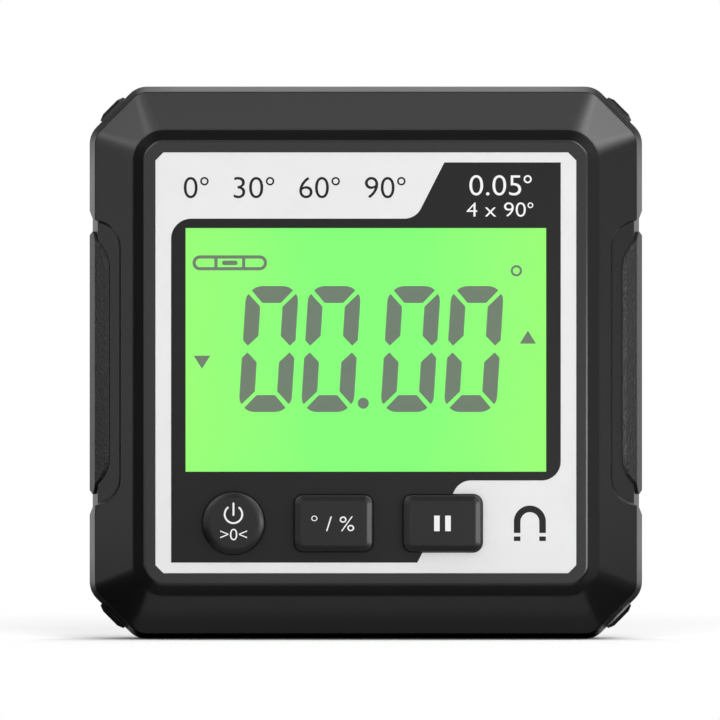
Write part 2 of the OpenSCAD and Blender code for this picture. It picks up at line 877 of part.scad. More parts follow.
// Contact spring along its axis, from a plate at level 0
module contact_spring() {
    turns = 3;
    steps = 14 * turns;
    wire_r = wire_d / 2;
    foot_r = cell_d * 0.38;
    head_r = terminal_d / 2;
    rise = spring_room - wire_d - fit_gap;
    skin([for (i = [0:steps])
        let (a = 360 * turns * i / steps)
        let (r = foot_r + (head_r - foot_r) * i / steps)
        [for (t = [0:45:315]) [
            (r + wire_r * cos(t)) * cos(a),
            (r + wire_r * cos(t)) * sin(a),
            wire_r + rise * i / steps - wire_r * sin(t)
        ]]
    ]);
}

// Contact plate standing at the left end of the tray, over a stretch of its height
module end_plate(low, high) {
    plate_t = cell_d * 0.8;
    translate([-tray_w / 2 + fit_gap / 2, low, cell_z - plate_t / 2]) cube([contact_t, high - low, plate_t]);
}

// Raised dimple that meets a terminal
module dimple(y) {
    translate([-tray_w / 2 + contact_t / 2, y, cell_z]) rotate([0, 90, 0])
        cylinder(h = 1.4 * contact_t, d = terminal_d);
}

// Tail from the left end plate to the board
module tail(y) {
    translate([-tail_x, y, 0]) slab(tail_top_z, cell_z) square([contact_t - fit_gap, tail_w], center = true);
}

// Spring on the left end plate
module end_spring(y) {
    translate([-tray_w / 2 + contact_t * 0.9, y, cell_z]) rotate([0, 90, 0]) contact_spring();
}

plate_half = cell_d * 0.4;
upper_y = cell_pitch / 2;
lower_y = -cell_pitch / 2;
module positive_contact() {
    color("#cfd2d6") on_case() {
        end_plate(upper_y - plate_half, upper_y + plate_half);
        dimple(upper_y);
        tail(upper_y);
    }
}
module negative_contact() {
    color("#cfd2d6") on_case() {
        end_plate(lower_y - plate_half, lower_y + plate_half);
        end_spring(lower_y);
        tail(lower_y);
    }
}
module bridge_contact() {
    color("#cfd2d6") on_case() mirror([1, 0, 0]) {
        end_plate(lower_y - plate_half, upper_y + plate_half);
        dimple(lower_y);
        end_spring(upper_y);
    }
}

// Battery door with finger grooves and a countersunk hole for its screw
module battery_door() {
    groove_w = door_w / 4;
    groove_pitch = 1.6;
    color("#2b2b2c") on_case() difference() {
        slab(back_z + door_t, back_z) door_outline(0);
        translate([0, door_screw_y, 0]) {
            slab(back_z + door_t + over, back_z - over) circle(d = screw_d + 2 * fit_gap);
            slab(back_z + screw_head_t - fit_gap, back_z - over) circle(d = screw_head_d + 2 * fit_gap);
        }
        for (i = [0:2]) {
            translate([0, door_top - 2 * door_ledge - i * groove_pitch, 0])
                slab(back_z + door_t / 4, back_z - over) square([groove_w, groove_pitch / 2], center = true);
        }
    }
}
module door_screw() {
    color("#b9bcc0") on_case() translate([0, door_screw_y, back_z + screw_head_t - fit_gap])
        mirror([0, 0, 1]) screw(screw_head_d, screw_head_t - fit_gap, screw_d, door_screw_l);
}

// Screws that clamp the rear cover to the front housing
module case_screws() {
    color("#b9bcc0") on_case() at_case_screws() translate([0, 0, seat_screw_z])
        mirror([0, 0, 1]) screw(screw_head_d, screw_head_t, screw_d, case_screw_l);
}

// Round magnets in the base
module base_magnets() {
    color("#c9ccd0") on_case() at_magnets() translate([0, 0, magnet_sink])
        cylinder(h = magnet_t - glue_gap, d = magnet_d);
}

front_housing();
rear_cover();
left_grip();
right_grip();
face_label();
lcd_lens();
power_button();
unit_button();
hold_button();
power_plunger();
unit_plunger();
hold_plunger();
power_switch();
unit_switch();
hold_switch();
lcd_glass();
lcd_backlight();
lcd_frame();
lcd_connector();
circuit_board();
tilt_sensor();
processor_chip();
board_screws();
upper_battery();
lower_battery();
positive_contact();
negative_contact();
bridge_contact();
battery_door();
door_screw();
case_screws();
base_magnets();
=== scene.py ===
import math

import bmesh
import bpy
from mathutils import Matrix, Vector
from mathutils.geometry import delaunay_2d_cdt


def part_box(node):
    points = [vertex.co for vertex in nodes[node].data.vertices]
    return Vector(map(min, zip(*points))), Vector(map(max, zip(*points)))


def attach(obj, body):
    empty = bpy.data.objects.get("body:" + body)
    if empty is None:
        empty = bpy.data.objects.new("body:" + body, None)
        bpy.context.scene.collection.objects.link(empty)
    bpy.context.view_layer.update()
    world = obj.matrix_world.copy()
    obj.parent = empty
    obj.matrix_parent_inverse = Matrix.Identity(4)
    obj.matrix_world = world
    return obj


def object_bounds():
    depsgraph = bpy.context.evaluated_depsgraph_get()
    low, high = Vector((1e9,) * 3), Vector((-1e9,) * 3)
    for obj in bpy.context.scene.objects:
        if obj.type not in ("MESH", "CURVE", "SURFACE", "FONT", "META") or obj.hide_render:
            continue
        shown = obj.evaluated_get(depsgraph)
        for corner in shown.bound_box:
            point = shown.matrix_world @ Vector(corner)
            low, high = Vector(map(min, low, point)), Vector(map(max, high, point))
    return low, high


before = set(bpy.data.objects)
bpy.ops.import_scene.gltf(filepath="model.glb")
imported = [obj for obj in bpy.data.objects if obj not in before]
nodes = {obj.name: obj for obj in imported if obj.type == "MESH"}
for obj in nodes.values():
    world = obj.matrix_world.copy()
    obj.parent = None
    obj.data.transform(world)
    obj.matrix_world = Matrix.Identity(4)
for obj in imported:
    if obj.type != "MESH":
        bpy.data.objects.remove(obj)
cad_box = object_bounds()

# Shapes on the face are in millimetres from its middle, x to the right and y up.
# Everything else is in metres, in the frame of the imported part.
MM = 0.001
FACE_Z = (cad_box[0].z + cad_box[1].z) / 2
LABEL_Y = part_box("face_label")[0].y
GLASS_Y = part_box("lcd_glass")[0].y
KEY_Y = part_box("unit_button")[0].y

# A printed shape stands this far proud of what carries it, and starts this far below its surface.
INK_PROUD = 0.012
INK_SUNK = 0.008
INK_MERGE = 0.0005


def grey(value):
    """A linear grey from a screen value of 0 to 255."""
    return screen(value, value, value)


def screen(*values):
    """A linear colour from screen values of 0 to 255."""
    shares = [v / 255 for v in values]
    return [s / 12.92 if s <= 0.04045 else ((s + 0.055) / 1.055) ** 2.4 for s in shares] + [1.0]


def at(x, y, plane):
    """The point of a plane of the face that lies x, y millimetres from the middle."""
    return Vector((x * MM, plane, FACE_Z + y * MM))


def add(tree, kind, sockets=None, **settings):
    """A new shader node, with some of its sockets and settings."""
    node = tree.nodes.new("ShaderNode" + kind)
    for name, value in settings.items():
        setattr(node, name, value)
    for name, value in (sockets or {}).items():
        node.inputs[name].default_value = value
    return node


def placed(name, data):
    """A new object of the scene."""
    obj = bpy.data.objects.new(name, data)
    bpy.context.scene.collection.objects.link(obj)
    return obj


def reckon(tree, operation, *terms):
    """The result of a math node on sockets and numbers."""
    node = add(tree, "Math", operation=operation)
    for socket, term in zip(node.inputs, terms):
        if isinstance(term, (int, float)):
            socket.default_value = term
        else:
            tree.links.new(term, socket)
    return node.outputs["Value"]


def ramp(tree, factor, *stops):
    """A colour ramp through (position, colour) stops."""
    node = add(tree, "ValToRGB")
    elements = node.color_ramp.elements
    while len(elements) < len(stops):
        elements.new(0.5)
    for element, (position, colour) in zip(elements, stops):
        element.position = position
        element.color = colour
    tree.links.new(factor, node.inputs["Fac"])
    return node.outputs["Color"]


def scaled(colour, share):
    """A colour made lighter or darker by a share."""
    return [channel * share for channel in colour[:3]] + [1.0]


def new_material(name):
    """A material, its node tree, its main shader and the piece's own coordinates."""
    material = bpy.data.materials.new(name)
    material.use_nodes = True
    tree = material.node_tree
    place = add(tree, "TexCoord").outputs["Object"]
    return material, tree, tree.nodes["Principled BSDF"], place


def surface(name, colour, spread=0.12, patch=5.0, grain=0.2, depth=0.006, rough=0.45,
            rough_spread=0.06, metallic=0.0, shine=0.5, cells=False, stretch=(1, 1, 1)):
    """A finish whose colour drifts over patches, with a grain in its roughness and relief.

    patch, grain and depth are in millimetres; stretch draws the grain out for brushed metal.
    """
    material, tree, shader, place = new_material(name)
    link = tree.links.new
    drift = add(tree, "TexNoise", {"Scale": 1 / (patch * MM), "Detail": 4.0})
    link(place, drift.inputs["Vector"])
    colours = ramp(tree, drift.outputs["Fac"], (0.3, scaled(colour, 1 - spread)),
                   (0.7, scaled(colour, 1 + spread)))
    link(colours, shader.inputs["Base Color"])

    drawn = add(tree, "Mapping", {"Scale": stretch})
    link(place, drawn.inputs["Vector"])
    if cells:
        fine = add(tree, "TexVoronoi", {"Scale": 1 / (grain * MM)})
        height = fine.outputs["Distance"]
    else:
        fine = add(tree, "TexNoise", {"Scale": 1 / (grain * MM), "Detail": 3.0})
        height = fine.outputs["Fac"]
    link(drawn.outputs["Vector"], fine.inputs["Vector"])
    gloss = add(tree, "MapRange", {"To Min": rough - rough_spread, "To Max": rough + rough_spread})
    link(height, gloss.inputs["Value"])
    link(gloss.outputs["Result"], shader.inputs["Roughness"])
    relief = add(tree, "Bump", {"Strength": 1.0, "Distance": depth * MM})
    link(height, relief.inputs["Height"])
    link(relief.outputs["Normal"], shader.inputs["Normal"])

    shader.inputs["Metallic"].default_value = metallic
    shader.inputs["Specular IOR Level"].default_value = shine
    return material


# The backlight's colour sways by a share of the half width, in clouds of a size in millimetres.
GLOW_SWAY, GLOW_CLOUD = 0.2, 7


def glow(name, middle, side, half_width, strength):
    """A backlit surface whose colour shifts from the middle of the face to its sides."""
    material, tree, shader, place = new_material(name)
    link = tree.links.new
    axes = add(tree, "SeparateXYZ")
    link(place, axes.inputs["Vector"])
    off_middle = reckon(tree, "ABSOLUTE", axes.outputs["X"])
    cloud = add(tree, "TexNoise", {"Scale": 1 / (GLOW_CLOUD * MM), "Detail": 2.0})
    link(place, cloud.inputs["Vector"])
    most = GLOW_SWAY * half_width
    sway = add(tree, "MapRange", {"To Min": -most, "To Max": most})
    link(cloud.outputs["Fac"], sway.inputs["Value"])
    share = add(tree, "MapRange", {"From Max": half_width})
    link(reckon(tree, "ADD", off_middle, sway.outputs["Result"]), share.inputs["Value"])
    link(ramp(tree, share.outputs["Result"], (0.3, middle), (1.0, side)),
         shader.inputs["Emission Color"])
    shader.inputs["Emission Strength"].default_value = strength
    shader.inputs["Base Color"].default_value = scaled(middle, 0.1)
    shader.inputs["Roughness"].default_value = 0.3
    shader.inputs["Specular IOR Level"].default_value = 0.05
    return material


def clear_plastic(name):
    """A clear moulding with a faint ripple and fine dust in its gloss."""
    material, tree, shader, place = new_material(name)
    link = tree.links.new
    ripple = add(tree, "TexNoise", {"Scale": 1 / (9 * MM), "Detail": 1.0})
    link(place, ripple.inputs["Vector"])
    relief = add(tree, "Bump", {"Strength": 0.2, "Distance": 0.004 * MM})
    link(ripple.outputs["Fac"], relief.inputs["Height"])
    link(relief.outputs["Normal"], shader.inputs["Normal"])
    dust = add(tree, "TexNoise", {"Scale": 1 / (0.3 * MM), "Detail": 2.0})
    link(place, dust.inputs["Vector"])
    gloss = add(tree, "MapRange", {"To Min": 0.0, "To Max": 0.06})
    link(dust.outputs["Fac"], gloss.inputs["Value"])
    link(gloss.outputs["Result"], shader.inputs["Roughness"])
    shader.inputs["Base Color"].default_value = (1, 1, 1, 1)
    shader.inputs["Transmission Weight"].default_value = 1.0
    shader.inputs["IOR"].default_value = 1.2
    return material


def cell_sleeve(name, plus_end):
    """A dry cell: bare steel ends, a coloured band at the plus end and a dark sleeve between."""
    material, tree, shader, place = new_material(name)
    link = tree.links.new
    axes = add(tree, "SeparateXYZ")
    link(place, axes.inputs["Vector"])
    length = add(tree, "MapRange", {"From Min": -plus_end, "From Max": plus_end})
    link(axes.outputs["X"], length.inputs["Value"])
    steel, dark, band = grey(190), grey(38), screen(196, 126, 52)
    colours = ramp(tree, length.outputs["Result"], (0.0, steel), (0.075, dark), (0.74, band),
                   (0.965, steel))
    colours.node.color_ramp.interpolation = "CONSTANT"
    scuffs = add(tree, "TexNoise", {"Scale": 1 / (1.5 * MM), "Detail": 5.0})
    link(place, scuffs.inputs["Vector"])
    worn = add(tree, "Mix", data_type="RGBA", blend_type="MULTIPLY")
    worn.inputs["Factor"].default_value = 0.25
    link(colours, worn.inputs["A"])
    link(scuffs.outputs["Color"], worn.inputs["B"])
    link(worn.outputs["Result"], shader.inputs["Base Color"])
    gloss = add(tree, "MapRange", {"To Min": 0.2, "To Max": 0.36})
    link(scuffs.outputs["Fac"], gloss.inputs["Value"])
    link(gloss.outputs["Result"], shader.inputs["Roughness"])
    shader.inputs["Metallic"].default_value = 0.5
    return material


CASE_PLASTIC = surface("moulded_case", grey(11), grain=0.16, depth=0.004, rough=0.33, shine=0.58)
DOOR_PLASTIC = surface("moulded_door", grey(19), grain=0.22, depth=0.008, rough=0.44)
GRIP_RUBBER = surface("stippled_rubber", grey(16), grain=0.32, depth=0.05, rough=0.48, shine=0.55,
                      cells=True)
LABEL_FILM = surface("label_film", grey(232), spread=0.015, grain=0.12, depth=0.002, rough=0.5,
                     shine=0.2)
INK_DARK = surface("dark_print", grey(29), spread=0.05, grain=0.12, depth=0.002, rough=0.55,
                   shine=0.2)
INK_WHITE = surface("white_print", grey(240), spread=0.02, grain=0.1, depth=0.002, rough=0.5)
KEY_PLASTIC = surface("moulded_key", grey(10), grain=0.14, depth=0.004, rough=0.38, shine=0.4)
INNER_PLASTIC = surface("inner_moulding", grey(52), grain=0.2, rough=0.5)
PLUNGER_PLASTIC = surface("ivory_plunger", screen(212, 206, 190), spread=0.05, grain=0.2)
ELASTOMER = surface("striped_elastomer", screen(196, 128, 140), grain=0.1, stretch=(1, 0.05, 0.05))
LAMINATE = surface("board_laminate", screen(26, 92, 52), spread=0.3, patch=1.8, grain=0.5,
                   rough=0.35)
CHIP_PLASTIC = surface("chip_moulding", grey(36), grain=0.1, depth=0.008, rough=0.55)
SCREW_STEEL = surface("zinc_steel", grey(176), spread=0.08, grain=0.12, rough=0.3, metallic=1.0)
SPRING_METAL = surface("nickel_plate", screen(206, 200, 184), spread=0.06, grain=0.1, rough=0.25,
                       metallic=1.0, stretch=(1, 0.2, 1))
MAGNET_METAL = surface("magnet_plate", grey(196), spread=0.08, grain=0.15, rough=0.28,
                       metallic=1.0, stretch=(0.15, 1, 1))
LIGHT_GUIDE = surface("light_guide", screen(228, 240, 226), spread=0.03, grain=0.6, rough=0.3)

# The display is a little brighter than it shows, because its window takes some light.
WINDOW_LOSS = 1.03
LENS_LEDGE = 0.8 * MM
WINDOW_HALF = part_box("lcd_lens")[1].x - LENS_LEDGE
DISPLAY = glow("backlit_display", screen(126, 252, 114), screen(148, 252, 111), WINDOW_HALF,
               WINDOW_LOSS)
SEGMENT = glow("display_segment", screen(104, 118, 103), screen(106, 120, 102), WINDOW_HALF,
               WINDOW_LOSS)

# Each node's finish, and how far in millimetres the rounding reaches from its sharp edges.
FINISH = {
    "front_housing": (CASE_PLASTIC, 0.04),
    "rear_cover": (CASE_PLASTIC, 0.04),
    "battery_door": (DOOR_PLASTIC, 0.12),
    "left_grip": (GRIP_RUBBER, 0.03),
    "right_grip": (GRIP_RUBBER, 0.03),
    "face_label": (LABEL_FILM, 0),
    "lcd_lens": (clear_plastic("clear_lens"), 0),
    "power_button": (KEY_PLASTIC, 0.04),
    "unit_button": (KEY_PLASTIC, 0.04),
    "hold_button": (KEY_PLASTIC, 0.04),
    "power_plunger": (PLUNGER_PLASTIC, 0.05),
    "unit_plunger": (PLUNGER_PLASTIC, 0.05),
    "hold_plunger": (PLUNGER_PLASTIC, 0.05),
    "power_switch": (INNER_PLASTIC, 0.05),
    "unit_switch": (INNER_PLASTIC, 0.05),
    "hold_switch": (INNER_PLASTIC, 0.05),
    "lcd_glass": (DISPLAY, 0),
    "lcd_backlight": (LIGHT_GUIDE, 0.1),
    "lcd_frame": (INNER_PLASTIC, 0.1),
    "lcd_connector": (ELASTOMER, 0.1),
    "circuit_board": (LAMINATE, 0.05),
    "tilt_sensor": (CHIP_PLASTIC, 0.05),
    "processor_chip": (CHIP_PLASTIC, 0.03),
    "board_screws": (SCREW_STEEL, 0.05),
    "upper_battery": (cell_sleeve("upper_sleeve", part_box("upper_battery")[0].x), 0.1),
    "lower_battery": (cell_sleeve("lower_sleeve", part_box("lower_battery")[1].x), 0.1),
    "positive_contact": (SPRING_METAL, 0.03),
    "negative_contact": (SPRING_METAL, 0.03),
    "bridge_contact": (SPRING_METAL, 0.03),
    "door_screw": (SCREW_STEEL, 0.08),
    "case_screws": (SCREW_STEEL, 0.05),
    "base_magnets": (MAGNET_METAL, 0.1),
}

# Edges that turn by more degrees than a crease are rounded. The facets of the housings' lofted
# corners turn by less than theirs, and shade as one curve.
CREASE = 24
LOFT_CREASE = {"front_housing": 12, "rear_cover": 12}
WELD_REACH = 0.001 * MM
FLAT_TURN = 0.5
ROUND_STEPS = 2


def dress(node, material, edge):
    """Gives a CAD node its finish, and rounds its sharp edges by a hair as a mould leaves them."""
    obj = nodes[node]
    obj.data.materials.clear()
    obj.data.materials.append(material)
    if not edge:
        return
    weld = obj.modifiers.new("weld", "WELD")
    weld.merge_threshold = WELD_REACH
    flats = obj.modifiers.new("flats", "DECIMATE")
    flats.decimate_type = "DISSOLVE"
    flats.angle_limit = math.radians(FLAT_TURN)
    rounding = obj.modifiers.new("rounding", "BEVEL")
    rounding.width = edge * MM
    rounding.segments = ROUND_STEPS
    rounding.limit_method = "ANGLE"
    rounding.angle_limit = math.radians(LOFT_CREASE.get(node, CREASE))
    rounding.use_clamp_overlap = False
    rounding.harden_normals = True
    if node in LOFT_CREASE:
        faces = obj.data.polygons
        faces.foreach_set("use_smooth", [True] * len(faces))
        obj.modifiers.new("shading", "WEIGHTED_NORMAL")


for node, (material, edge) in FINISH.items():
    dress(node, material, edge)


def circle(x, y, radius, steps=48):
    """The outline of a circle."""
    angles = [2 * math.pi * i / steps for i in range(steps)]
    return [(x + radius * math.cos(a), y + radius * math.sin(a)) for a in angles]


def arc(x, y, radius, start, end, steps=40):
    """Points along a circle, from one angle in degrees to another."""
    turns = [math.radians(start + (end - start) * i / steps) for i in range(steps + 1)]
    return [(x + radius * math.cos(a), y + radius * math.sin(a)) for a in turns]


def arc_band(x, y, outer, inner, start, end):
    """Quads along a band of a circle, from one angle in degrees to another."""
    rim = list(zip(arc(x, y, outer, start, end), arc(x, y, inner, start, end)))
    return [[here[0], here[1], there[1], there[0]] for here, there in zip(rim, rim[1:])]


def rectangle(x0, y0, x1, y1):
    """The outline of an upright rectangle."""
    return [(x0, y0), (x1, y0), (x1, y1), (x0, y1)]


def rounded(corners, steps=10):
    """An outline through (x, y, radius) corners, each turned on an arc of its radius."""
    outline = []
    for i, (x, y, radius) in enumerate(corners):
        corner = Vector((x, y))
        before = (Vector(corners[i - 1][:2]) - corner).normalized()
        after = (Vector(corners[(i + 1) % len(corners)][:2]) - corner).normalized()
        if radius == 0:
            outline.append((x, y))
            continue
        half_turn = before.angle(after) / 2
        centre = corner + (before + after).normalized() * radius / math.sin(half_turn)
        first = corner + before * radius / math.tan(half_turn) - centre
        last = corner + after * radius / math.tan(half_turn) - centre
        for step in range(steps + 1):
            swept = first.lerp(last, step / steps).normalized() * radius
            outline.append(tuple(centre + swept))
    return outline


# The triangulation keeps what lies inside the outlines, and joins points this close in millimetres.
KEEP_INSIDE, CUT_MERGE = 1, 1e-5


def cut_out(outline, holes):
    """Triangles that fill an outline and leave out every hole, also where a hole crosses it."""
    loops = [outline] + holes
    points = [Vector(p) for loop in loops for p in loop]
    faces, start = [], 0
    for loop in loops:
        faces.append(list(range(start, start + len(loop))))
        start += len(loop)
    made, _, triangles, _, _, origins = delaunay_2d_cdt(points, [], faces, KEEP_INSIDE,
                                                              CUT_MERGE)
    return [[tuple(made[i]) for i in triangle]
            for triangle, origin in zip(triangles, origins) if list(origin) == [0]]


# The signs are drawn this much thinner on each side of a stroke, as a share of their type size.
STROKE_TRIM = -0.006


def lettering(text, x0, y0, x1, y1):
    """The faces of a line of plain numbers and signs, in thin strokes and fitted to a box."""
    curve = bpy.data.curves.new("lettering", "FONT")
    curve.body = text
    curve.offset = STROKE_TRIM
    curve.resolution_u = 6
    holder = placed("lettering", curve)
    drawn = holder.evaluated_get(bpy.context.evaluated_depsgraph_get())
    flat = bpy.data.meshes.new_from_object(drawn)
    xs, ys = [v.co.x for v in flat.vertices], [v.co.y for v in flat.vertices]
    across, up = (x1 - x0) / (max(xs) - min(xs)), (y1 - y0) / (max(ys) - min(ys))
    fitted = [(x0 + (x - min(xs)) * across, y0 + (y - min(ys)) * up) for x, y in zip(xs, ys)]
    faces = [[fitted[i] for i in polygon.vertices] for polygon in flat.polygons]
    bpy.data.objects.remove(holder)
    bpy.data.meshes.remove(flat)
    return faces


def printed(name, faces, plane, body, material):
    """A thin closed piece of print made of flat faces, on a plane of the face."""
    shape = bmesh.new()
    for face in faces:
        shape.faces.new([shape.verts.new(at(x, y, plane + INK_SUNK * MM)) for x, y in face])
    bmesh.ops.remove_doubles(shape, verts=shape.verts, dist=INK_MERGE * MM)
    grown = bmesh.ops.extrude_face_region(shape, geom=shape.faces[:])
    front = [item for item in grown["geom"] if isinstance(item, bmesh.types.BMVert)]
    bmesh.ops.translate(shape, verts=front, vec=(0, -(INK_SUNK + INK_PROUD) * MM, 0))
    bmesh.ops.recalc_face_normals(shape, faces=shape.faces)
    mesh = bpy.data.meshes.new(name)
    shape.to_mesh(mesh)
    shape.free()
    mesh.materials.append(material)
    piece = placed(name, mesh)
    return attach(piece, body)


# Outlines that the print leaves free: the window and the buttons with the gap round them.
BUTTON_GAP = 0.05
BUTTON_COLLAR = 0.4
KEY_ROUND = 1.0


def button_hole(node, round_key):
    """The hole in the print round a button, which is wider below by its collar."""
    low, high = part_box(node)
    trim = BUTTON_COLLAR - BUTTON_GAP
    x0, x1 = low.x / MM + trim, high.x / MM - trim
    y0, y1 = (low.z - FACE_Z) / MM + trim, (high.z - FACE_Z) / MM - trim
    if round_key:
        return circle((x0 + x1) / 2, (y0 + y1) / 2, (x1 - x0) / 2)
    turn = KEY_ROUND + BUTTON_GAP
    return rounded([(x0, y0, turn), (x1, y0, turn), (x1, y1, turn), (x0, y1, turn)])


lens_low, lens_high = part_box("lcd_lens")
WINDOW = rectangle((lens_low.x + LENS_LEDGE) / MM, (lens_low.z + LENS_LEDGE - FACE_Z) / MM,
                   (lens_high.x - LENS_LEDGE) / MM, (lens_high.z - LENS_LEDGE - FACE_Z) / MM)
HOLES = [WINDOW, button_hole("power_button", True), button_hole("unit_button", False),
         button_hole("hold_button", False)]

# The dark field frames the display, with a tab at the upper right and a block at the lower left.
FIELD = rounded([(-21.07, -21.62, 0), (5.56, -21.62, 0), (10.15, -12.73, 2.0),
                 (21.08, -12.73, 2.04), (21.08, 21.67, 0), (8.49, 21.67, 0),
                 (5.40, 15.59, 2.0), (-21.07, 15.59, 2.17)])
printed("print_field", cut_out(FIELD, HOLES), LABEL_Y, "case", INK_DARK)

# A degree ring's radius as a share of its number's height, and its place and hole in such radii.
DEGREE_SHARE, DEGREE_AWAY, DEGREE_HOLE = 0.2, 1.6, 0.6


def angle(number, x0, y0, x1, y1):
    """The faces of a number fitted to a box, with a degree ring after it."""
    ring = DEGREE_SHARE * (y1 - y0)
    return lettering(number, x0, y0, x1, y1) + arc_band(
        x1 + DEGREE_AWAY * ring, y1 - ring, ring, DEGREE_HOLE * ring, 0, 360)


# Plain angles stand where the face carries words, at the size of those words.
ROW = (("0", -19.7, -18.2), ("30", -14.3, -11.1), ("60", -7.2, -4.0), ("90", -0.1, 3.1))
ROW_LOW, ROW_HIGH = 17.8, 20.1
row = []
for number, x0, x1 in ROW:
    row += angle(number, x0, ROW_LOW, x1, ROW_HIGH)
printed("angle_row", row, LABEL_Y, "case", INK_DARK)
FIELD_Y = LABEL_Y - INK_PROUD * MM
STEP_BOX, RANGE_BOX = (11.2, 18.1, 16.8, 20.3), (10.9, 15.8, 17.3, 17.35)
printed("step_number", angle("0.05", *STEP_BOX), FIELD_Y, "case", INK_WHITE)
printed("range_number", angle("4 x 90", *RANGE_BOX), FIELD_Y, "case", INK_WHITE)

# A horseshoe magnet marks the side with the magnets.
MAGNET_X, MAGNET_Y, MAGNET_OUTER, MAGNET_INNER = 17.74, -17.18, 1.73, 1.02
LEG_LOW, TIP_LOW, TIP_HIGH = -18.41, -19.28, -18.79
magnet = arc_band(MAGNET_X, MAGNET_Y, MAGNET_OUTER, MAGNET_INNER, 0, 180)
for side in (-1, 1):
    near, far = MAGNET_X + side * MAGNET_INNER, MAGNET_X + side * MAGNET_OUTER
    magnet.append(rectangle(min(near, far), LEG_LOW, max(near, far), MAGNET_Y))
    magnet.append(rectangle(min(near, far), TIP_LOW, max(near, far), TIP_HIGH))
printed("magnet_mark", magnet, LABEL_Y, "case", INK_DARK)

# The round button's power mark: an open ring and a bar, all with round ends.
POWER_X, POWER_Y, RING_OUTER, RING_INNER, RING_GAP = -14.32, -16.39, 1.05, 0.85, 40
BAR_LOW, BAR_HIGH = -16.56, -15.11
ZERO_BOX = (-15.75, -19.2, -12.85, -17.95)
END_STEPS = 12
pen = (RING_OUTER - RING_INNER) / 2
ring_middle = RING_INNER + pen
first, last = 90 + RING_GAP, 450 - RING_GAP


def ring_end(turn):
    """The middle of the open ring's round end at an angle in degrees."""
    turn = math.radians(turn)
    return POWER_X + ring_middle * math.cos(turn), POWER_Y + ring_middle * math.sin(turn)


open_ring = (arc(POWER_X, POWER_Y, RING_OUTER, first, last)
             + arc(*ring_end(last), pen, last, last + 180, END_STEPS)[1:-1]
             + arc(POWER_X, POWER_Y, RING_INNER, last, first)
             + arc(*ring_end(first), pen, first + 180, first + 360, END_STEPS)[1:-1])
bar = (arc(POWER_X, BAR_HIGH - pen, pen, 0, 180, END_STEPS)
       + arc(POWER_X, BAR_LOW + pen, pen, 180, 360, END_STEPS))
power = cut_out(open_ring, []) + [bar]
power += lettering(">0<", *ZERO_BOX)
printed("power_mark", power, KEY_Y, "power_key", INK_WHITE)

# The oblong buttons carry signs: one for the units, and two bars for a reading held still.
MARK_LOW, MARK_HIGH = -18.21, -16.53
UNIT_LEFT, UNIT_RIGHT = -5.9, -1.26
printed("unit_mark", lettering("° / %", UNIT_LEFT, MARK_LOW, UNIT_RIGHT, MARK_HIGH), KEY_Y,
        "unit_key", INK_WHITE)
HOLD_X, HOLD_NEAR, HOLD_FAR = 8.28, 0.3, 0.9
printed("hold_mark", [rectangle(HOLD_X - HOLD_FAR, MARK_LOW, HOLD_X - HOLD_NEAR, MARK_HIGH),
                      rectangle(HOLD_X + HOLD_NEAR, MARK_LOW, HOLD_X + HOLD_FAR, MARK_HIGH)],
        KEY_Y, "hold_key", INK_WHITE)

# Four leaning zeros with mitred segments. One crosswise and one upright segment are mirrored.
DIGIT_MIDDLES = (-10.52, -3.775, 4.84, 11.69)
DIGIT_Y, DIGIT_LEAN = 1.485, 0.0635
CROSSWISE = [(-2.26, 6.37), (-1.8, 6.68), (-1.25, 6.825), (1.25, 6.825), (1.8, 6.68), (2.26, 6.37),
             (1.0, 4.98), (-1.0, 4.98)]
UPRIGHT = [(2.57, 5.99), (2.77, 5.65), (2.85, 5.25), (2.85, 0.95), (2.28, 0.35), (1.2, 1.42),
           (1.2, 4.59)]
segments = []
for middle in DIGIT_MIDDLES:
    for shape, across, up in ((CROSSWISE, 1, 1), (CROSSWISE, 1, -1), (UPRIGHT, 1, 1),
                              (UPRIGHT, 1, -1), (UPRIGHT, -1, 1), (UPRIGHT, -1, -1)):
        segments.append([(middle + across * x + DIGIT_LEAN * up * y, DIGIT_Y + up * y)
                         for x, y in shape])

# A decimal point, a degree ring and two arrowheads: middles and radii, and corners.
POINT, DEGREE_RING = (-0.28, -4.38, 0.6), (16.29, 9.96, 0.62, 0.37)
ARROW_UP = [(16.65, 2.07), (18.42, 2.07), (17.54, 3.49)]
ARROW_DOWN = [(-18.65, 0.77), (-17.74, -0.66), (-16.83, 0.77)]
segments.append(circle(*POINT))
segments += arc_band(*DEGREE_RING, 0, 360)
segments += [ARROW_UP, ARROW_DOWN]

# A spirit level in the upper left corner: a tube with its bubble between two lines.
TUBE = (-18.77, 10.0, -10.69, 11.63)
TUBE_WALL, TUBE_ROUND = 0.36, 0.8
BUBBLE_HALF, BUBBLE_TALL, LINE_AWAY, LINE_HALF = 0.85, 0.5, 1.5, 0.18
# The bubble's ends are nearly half round.
BUBBLE_ROUND = BUBBLE_TALL / 2.05


def rounded_box(x0, y0, x1, y1, radius):
    """The outline of an upright rectangle with round corners."""
    return rounded([(x, y, radius) for x, y in rectangle(x0, y0, x1, y1)])


x0, y0, x1, y1 = TUBE
bore = (x0 + TUBE_WALL, y0 + TUBE_WALL, x1 - TUBE_WALL, y1 - TUBE_WALL)
segments += cut_out(rounded_box(*TUBE, TUBE_ROUND), [rounded_box(*bore, TUBE_ROUND - TUBE_WALL)])
tube_x, tube_y = (x0 + x1) / 2, (y0 + y1) / 2
segments.append(rounded_box(tube_x - BUBBLE_HALF, tube_y - BUBBLE_TALL / 2,
                            tube_x + BUBBLE_HALF, tube_y + BUBBLE_TALL / 2, BUBBLE_ROUND))
for side in (-1, 1):
    line_x = tube_x + side * LINE_AWAY
    segments.append(rectangle(line_x - LINE_HALF, bore[1], line_x + LINE_HALF, bore[3]))
printed("lcd_segments", segments, GLASS_Y, "case", SEGMENT)


